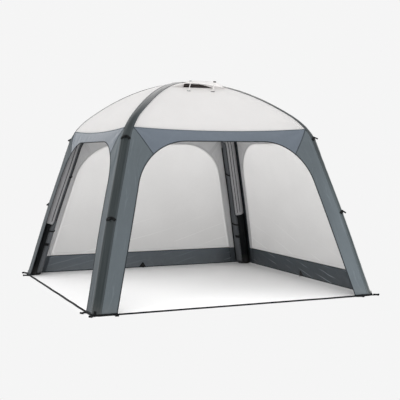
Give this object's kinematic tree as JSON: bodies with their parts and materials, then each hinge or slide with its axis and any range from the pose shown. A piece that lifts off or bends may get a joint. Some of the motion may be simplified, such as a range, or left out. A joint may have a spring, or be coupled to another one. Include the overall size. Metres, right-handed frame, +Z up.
{
  "type": "inflatable gazebo",
  "caption": "Square gazebo on leaning air beams that run on as roof ridges, with eave bands, two zip-in walls, skirts and a propped roof vent.",
  "frame": {"origin": "on the floor, in the middle of the footprint", "axes": "+Z up; the open front faces -Y, the open left side -X, and the walls are on the back (+Y) and the right (+X)"},
  "size_m": [3.211, 3.211, 2.2835],
  "materials": {
    "beam_cloth": "light grey woven sleeve over the air tube",
    "slate_cloth": "slate blue-grey coated polyester",
    "charcoal_cloth": "charcoal coated polyester",
    "roof_cloth": "pale grey coated polyester",
    "wall_cloth": "light grey polyester that lets light through",
    "black_webbing": "black webbing and cloth"
  },
  "bodies": {
    "root": {"air_beam_back_left": "beam_cloth", "air_beam_back_right": "beam_cloth", "air_beam_front_left": "beam_cloth", "air_beam_front_right": "beam_cloth", "beam_boot_back_left": "black_webbing", "beam_boot_back_right": "black_webbing", "beam_boot_front_left": "black_webbing", "beam_boot_front_right": "black_webbing", "beam_flap_back_left": "charcoal_cloth", "beam_flap_back_right": "charcoal_cloth", "beam_flap_front_left": "charcoal_cloth", "beam_flap_front_right": "charcoal_cloth", "crown_hub": "beam_cloth", "crown_patch": "roof_cloth", "eave_band_back": "slate_cloth", "eave_band_front": "slate_cloth", "eave_band_left": "slate_cloth", "eave_band_right": "slate_cloth", "floor_strap_front": "black_webbing", "floor_strap_left": "black_webbing", "foot_webbing_back_left": "black_webbing", "foot_webbing_back_right": "black_webbing", "foot_webbing_front_left": "black_webbing", "foot_webbing_front_right": "black_webbing", "guy_strap_mid_back_left": "black_webbing", "guy_strap_mid_back_right": "black_webbing", "guy_strap_mid_front_left": "black_webbing", "guy_strap_mid_front_right": "black_webbing", "guy_strap_upper_back_left": "black_webbing", "guy_strap_upper_back_right": "black_webbing", "guy_strap_upper_front_left": "black_webbing", "guy_strap_upper_front_right": "black_webbing", "leg_wing_back_left": "slate_cloth", "leg_wing_back_right": "slate_cloth", "leg_wing_front_left": "slate_cloth", "leg_wing_front_right": "slate_cloth", "leg_wing_left_back": "slate_cloth", "leg_wing_left_front": "slate_cloth", "leg_wing_right_back": "slate_cloth", "leg_wing_right_front": "slate_cloth", "ridge_sleeve_back_left": "charcoal_cloth", "ridge_sleeve_back_right": "charcoal_cloth", "ridge_sleeve_front_left": "charcoal_cloth", "ridge_sleeve_front_right": "charcoal_cloth", "roof_panel_back": "roof_cloth", "roof_panel_front": "roof_cloth", "roof_panel_left": "roof_cloth", "roof_panel_right": "roof_cloth", "vent_hood": "roof_cloth", "vent_mesh": "charcoal_cloth", "vent_prop_left": "roof_cloth", "vent_prop_right": "roof_cloth", "wall_panel_back": "wall_cloth", "wall_panel_right": "wall_cloth", "wall_peg_tab_back": "black_webbing", "wall_peg_tab_right": "black_webbing", "wall_skirt_back": "charcoal_cloth", "wall_skirt_right": "charcoal_cloth"}
  },
  "joints": []
}
